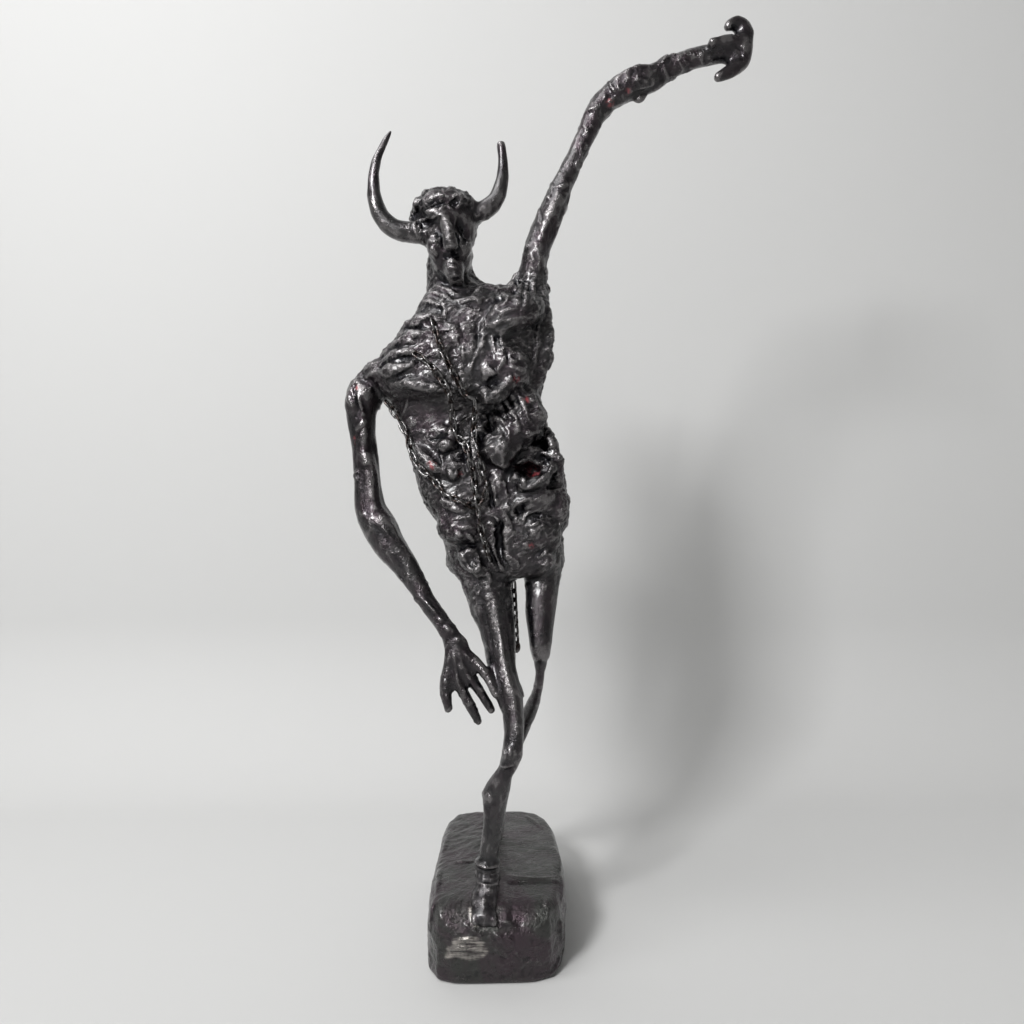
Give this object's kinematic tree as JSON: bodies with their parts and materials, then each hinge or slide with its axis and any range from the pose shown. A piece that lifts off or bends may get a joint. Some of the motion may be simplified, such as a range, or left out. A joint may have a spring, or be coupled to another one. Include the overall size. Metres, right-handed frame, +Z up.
{
  "type": "minotaur statue",
  "caption": "Elongated striding minotaur in dark cast bronze, one arm raised and one hanging, on a long low block base, with a chain of small links over the chest.",
  "frame": {"origin": "centre of the base's flat underside", "axes": "+Z up, the figure strides and faces towards -Y along the base's length, its raised arm reaches towards +X"},
  "size_m": [0.4267, 0.24, 0.9512],
  "materials": {
    "figure_bronze": "cast bronze with a dark brown-black patina, rough wax-modelled skin, rubbed ridges",
    "base_bronze": "cast bronze with a dark patina, rubbed at the near end",
    "chain_steel": "dark grey steel, dull"
  },
  "bodies": {
    "root": {"figure": "figure_bronze", "base": "base_bronze", "chain": "chain_steel", "chain_tail": "chain_steel"}
  },
  "joints": []
}
